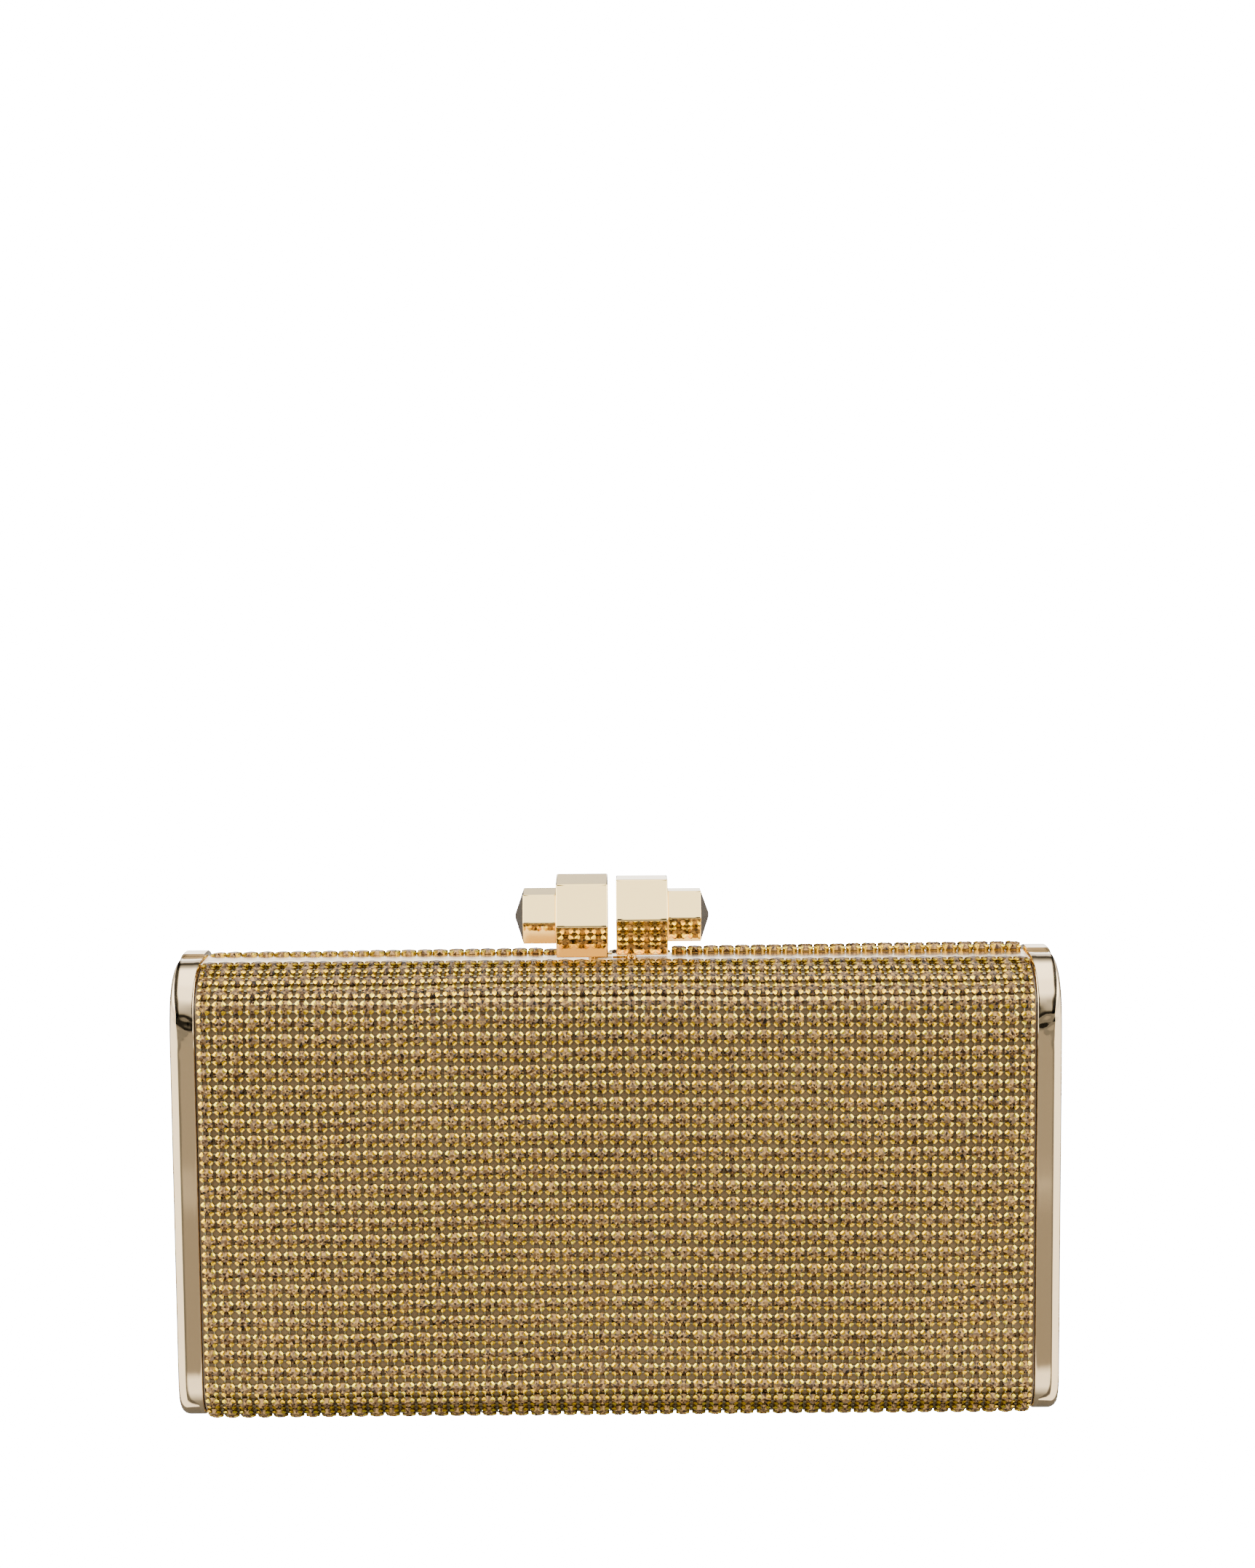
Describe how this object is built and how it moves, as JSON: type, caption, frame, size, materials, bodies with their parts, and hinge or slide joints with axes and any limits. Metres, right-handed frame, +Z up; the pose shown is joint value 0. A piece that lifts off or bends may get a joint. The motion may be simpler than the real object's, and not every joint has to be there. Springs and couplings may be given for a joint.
{
  "type": "hard-shell evening clutch",
  "caption": "Hard-shell box clutch covered in crystal mesh, with polished gold end caps, a hinge along the bottom edge and a kiss-lock clasp of hexagonal knobs.",
  "frame": {"origin": "on the ground, under the middle of the closed bag", "axes": "+X along the width, to the right as seen from the front; +Y from the front half to the back half; +Z up"},
  "size_m": [0.19, 0.035, 0.117],
  "materials": {
    "polished_gold": "mirror-polished pale champagne gold plate",
    "hinge_gold": "satin gold plate",
    "steel": "zinc-plated steel",
    "shell": "pressed sheet, satin gold lacquer",
    "crystal_mesh": "faceted smoky topaz stones in yellow gold four-prong cups",
    "smoky_crystal": "faceted smoky crystal",
    "backing_satin": "brown satin with a fine diagonal weave",
    "lining": "bronze satin over board"
  },
  "bodies": {
    "back_half": {"back_shell": "shell", "back_frame": "polished_gold", "back_left_cap": "polished_gold", "back_right_cap": "polished_gold", "back_cap_screws": "steel", "back_crystal_mesh": "crystal_mesh", "back_backing_satin": "backing_satin", "back_lining": "lining", "back_hinge_leaf": "hinge_gold", "back_hinge_rivets": "steel", "back_clasp_bracket": "steel", "back_clasp_spring": "steel", "back_clasp_pin": "steel", "hinge_pin": "steel"},
    "front_half": {"front_shell": "shell", "front_frame": "polished_gold", "front_left_cap": "polished_gold", "front_right_cap": "polished_gold", "front_cap_screws": "steel", "front_crystal_mesh": "crystal_mesh", "front_backing_satin": "backing_satin", "front_lining": "lining", "front_hinge_leaf": "hinge_gold", "front_hinge_rivets": "steel", "front_clasp_bracket": "steel", "front_clasp_spring": "steel", "front_clasp_pin": "steel"},
    "back_clasp": {"back_clasp_post": "polished_gold", "back_knob": "polished_gold", "back_knob_collar": "polished_gold", "back_knob_crystal": "smoky_crystal"},
    "front_clasp": {"front_clasp_post": "polished_gold", "front_knob": "polished_gold", "front_knob_collar": "polished_gold", "front_knob_crystal": "smoky_crystal"}
  },
  "joints": [
    {"name": "bag_hinge", "type": "hinge", "parent": "back_half", "child": "front_half", "pos_m": [0, 0, 0.0024], "axis": [1, 0, 0], "range_deg": [0, 80]},
    {"name": "back_knob_flex", "type": "hinge", "parent": "back_half", "child": "back_clasp", "pos_m": [-0.0049, 0.0024, 0.0942], "axis": [1, 0, 0], "range_deg": [-1.5, 1.5], "stiffness_Nm_per_rad": 0.5},
    {"name": "front_knob_flex", "type": "hinge", "parent": "front_half", "child": "front_clasp", "pos_m": [0.0035, -0.0024, 0.0942], "axis": [1, 0, 0], "range_deg": [-1.5, 1.5], "stiffness_Nm_per_rad": 0.5}
  ]
}
